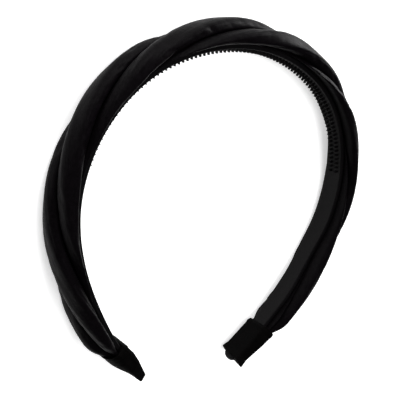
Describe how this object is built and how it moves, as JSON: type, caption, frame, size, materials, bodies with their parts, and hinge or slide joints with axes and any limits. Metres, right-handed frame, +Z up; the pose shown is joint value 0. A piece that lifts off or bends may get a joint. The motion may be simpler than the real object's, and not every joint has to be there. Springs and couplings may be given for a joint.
{
  "type": "leather headband",
  "caption": "Hard hoop headband with comb teeth inside, a rope of three padded leather strands outside and a leather wrap round each tip.",
  "frame": {"origin": "on the surface that the band lies on, under the middle of its bounding box", "axes": "+X from the left leg to the right leg, +Y towards the crown, +Z up, across the band, from its back edge to its front edge"},
  "size_m": [0.1426, 0.1354, 0.016],
  "materials": {
    "plastic": "moulded black plastic, satin",
    "leather": "soft black leather, low gloss, fine grain",
    "tape": "matt black leather tape"
  },
  "bodies": {
    "root": {"hoop": "plastic", "strand_1": "leather", "strand_2": "leather", "strand_3": "leather", "wrap_left": "tape", "wrap_right": "tape"}
  },
  "joints": []
}
